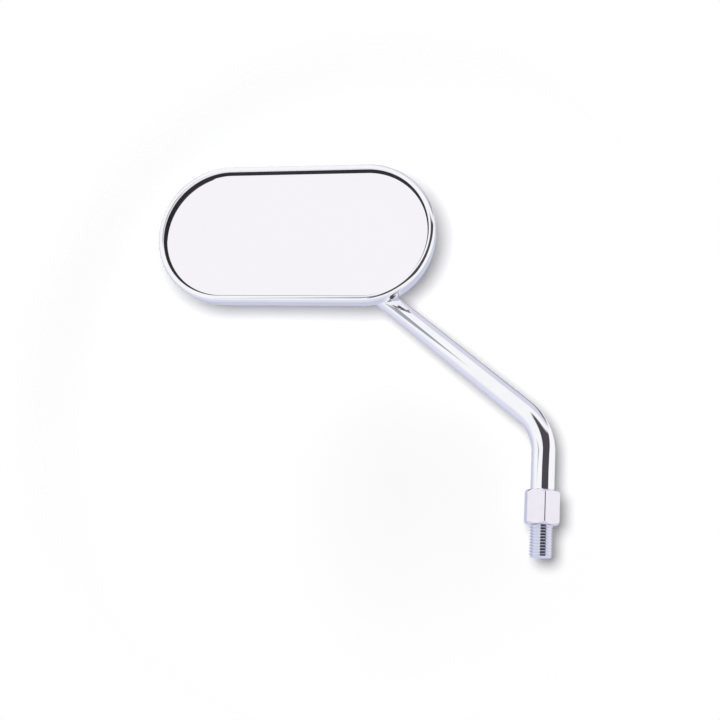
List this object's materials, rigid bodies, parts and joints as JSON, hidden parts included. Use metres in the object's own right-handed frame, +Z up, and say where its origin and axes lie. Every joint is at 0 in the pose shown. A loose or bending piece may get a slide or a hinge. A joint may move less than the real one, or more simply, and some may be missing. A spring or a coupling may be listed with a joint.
{
  "type": "motorcycle mirror",
  "caption": "Chromed obround rear-view mirror on a bent rod stem, with a ball joint inside the domed head and a long lock nut on the threaded end.",
  "frame": {"origin": "on the axis of the threaded end, on the plane of the lock nut's lower face", "axes": "+Z up the threaded end and the post, +X away from the head, -Y the way the glass looks"},
  "size_m": [0.1894, 0.032, 0.1738],
  "materials": {
    "chromed_steel": "bright chrome plate on a drawn steel rod",
    "chromed_nut": "bright chrome plate on a steel nut",
    "chromed_shell": "bright chrome plate on a die-cast shell",
    "chromed_rim": "bright chrome plate on a rolled ring",
    "silvered_glass": "polished glass, silvered",
    "black_rubber": "matt black bead",
    "foam": "closed-cell foam with adhesive faces",
    "nylon": "natural nylon",
    "ball_steel": "ground steel",
    "plated_steel": "zinc-plated steel"
  },
  "bodies": {
    "stem": {"stem": "chromed_steel", "pivot_ball": "ball_steel"},
    "rear_seat": {"rear_ball_seat": "nylon"},
    "front_seat": {"front_ball_seat": "nylon"},
    "head": {"housing_shell": "chromed_shell", "rim_bezel": "chromed_rim", "glass_gasket": "black_rubber", "mirror_glass": "silvered_glass", "backing_pad": "foam", "clamp_plate": "plated_steel", "spring_washers": "plated_steel", "clamp_screws": "plated_steel"},
    "nut": {"lock_nut": "chromed_nut"}
  },
  "joints": [
    {"name": "head_roll", "type": "hinge", "parent": "stem", "child": "rear_seat", "pos_m": [-0.08297, 0, 0.10655], "axis": [0, 1, 0], "range_deg": [-5, 5]},
    {"name": "head_twist", "type": "hinge", "parent": "rear_seat", "child": "front_seat", "pos_m": [-0.08297, 0, 0.10655], "axis": [0.7902, 0, -0.6129], "range_deg": [-12, 12]},
    {"name": "head_tilt", "type": "hinge", "parent": "front_seat", "child": "head", "pos_m": [-0.08297, 0, 0.10655], "axis": [0.6129, 0, 0.7902], "range_deg": [-9, 0.5]},
    {"name": "nut_travel", "type": "slide", "parent": "stem", "child": "nut", "axis": [0, 0, 1], "range_m": [-0.0135, 0]}
  ]
}
